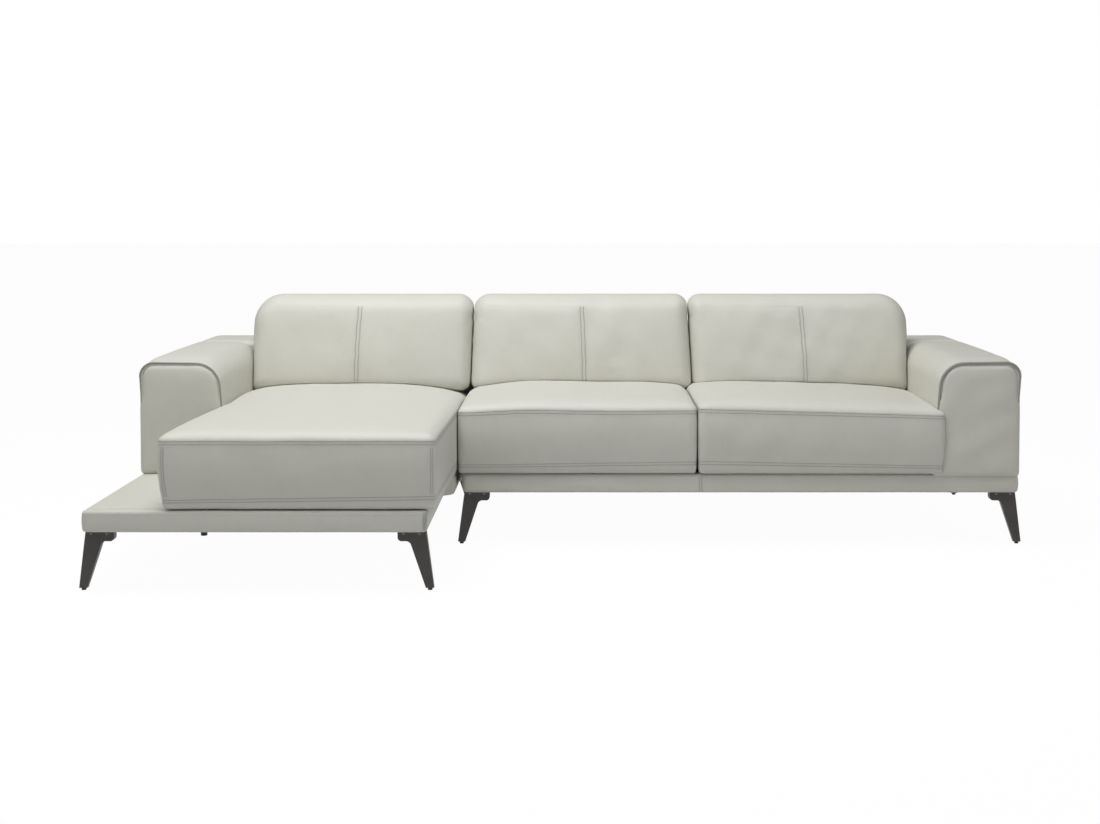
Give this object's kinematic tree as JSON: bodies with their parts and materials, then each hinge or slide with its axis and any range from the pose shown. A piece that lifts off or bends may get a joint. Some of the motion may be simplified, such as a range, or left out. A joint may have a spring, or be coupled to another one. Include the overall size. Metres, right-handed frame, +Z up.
{
  "type": "corner sofa",
  "caption": "Low corner sofa with a chaise on the left, a two-seat part on the right, padded block arms, box cushions and splayed blade legs.",
  "frame": {"origin": "on the floor under the middle of the sofa's overall width and depth", "axes": "+X to the right as seen from the front, +Y to the back, +Z up"},
  "size_m": [2.8, 1.621, 0.7599],
  "materials": {
    "leather": "light warm-grey grained leather, satin",
    "foam": "upholstery foam",
    "timber": "planed softwood and plywood",
    "webbing": "woven elastic webbing",
    "dust_cloth": "black non-woven cloth",
    "leg_metal": "satin gun-metal",
    "black_plastic": "matt black",
    "zinc_steel": "zinc-plated steel"
  },
  "bodies": {
    "two_seat_module": {"two_seat_base_front_cover": "leather", "two_seat_base_left_cover": "leather", "two_seat_base_right_cover": "leather", "two_seat_base_rear_cover": "leather", "two_seat_back_cover": "leather", "two_seat_back_frame": "timber", "two_seat_front_rail": "timber", "two_seat_rear_rail": "timber", "two_seat_side_rails": "timber", "two_seat_cross_rails": "timber", "two_seat_corner_blocks": "timber", "two_seat_dust_cover": "dust_cloth", "two_seat_front_left_leg": "leg_metal", "two_seat_front_right_leg": "leg_metal", "two_seat_rear_legs": "leg_metal", "two_seat_leg_glides": "black_plastic", "two_seat_leg_screws": "zinc_steel", "two_seat_webbing": "webbing", "two_seat_connector_receivers": "zinc_steel", "middle_seat_cover": "leather", "middle_seat_foam": "foam", "right_seat_cover": "leather", "right_seat_foam": "foam", "middle_back_cover": "leather", "middle_back_foam": "foam", "right_back_cover": "leather", "right_back_foam": "foam", "right_arm_cover": "leather", "right_arm_frame": "timber", "right_arm_front_panel": "leather", "right_arm_piping": "leather"},
    "chaise_module": {"chaise_base_front_cover": "leather", "chaise_base_left_cover": "leather", "chaise_base_right_cover": "leather", "chaise_base_rear_cover": "leather", "chaise_back_cover": "leather", "chaise_back_frame": "timber", "chaise_front_rail": "timber", "chaise_rear_rail": "timber", "chaise_side_rails": "timber", "chaise_cross_rails": "timber", "chaise_corner_blocks": "timber", "chaise_dust_cover": "dust_cloth", "chaise_front_left_leg": "leg_metal", "chaise_front_right_leg": "leg_metal", "chaise_rear_legs": "leg_metal", "chaise_leg_glides": "black_plastic", "chaise_leg_screws": "zinc_steel", "chaise_seat_webbing": "webbing", "chaise_ledge_panel": "leather", "chaise_centre_supports": "black_plastic", "chaise_connector_hooks": "zinc_steel", "chaise_seat_cover": "leather", "chaise_seat_foam": "foam", "left_back_cover": "leather", "left_back_foam": "foam", "left_arm_cover": "leather", "left_arm_frame": "timber", "left_arm_front_panel": "leather", "left_arm_piping": "leather"}
  },
  "joints": [
    {"name": "module_lift", "type": "slide", "parent": "two_seat_module", "child": "chaise_module", "axis": [0, 0, 1], "range_m": [0, 0.028]}
  ]
}
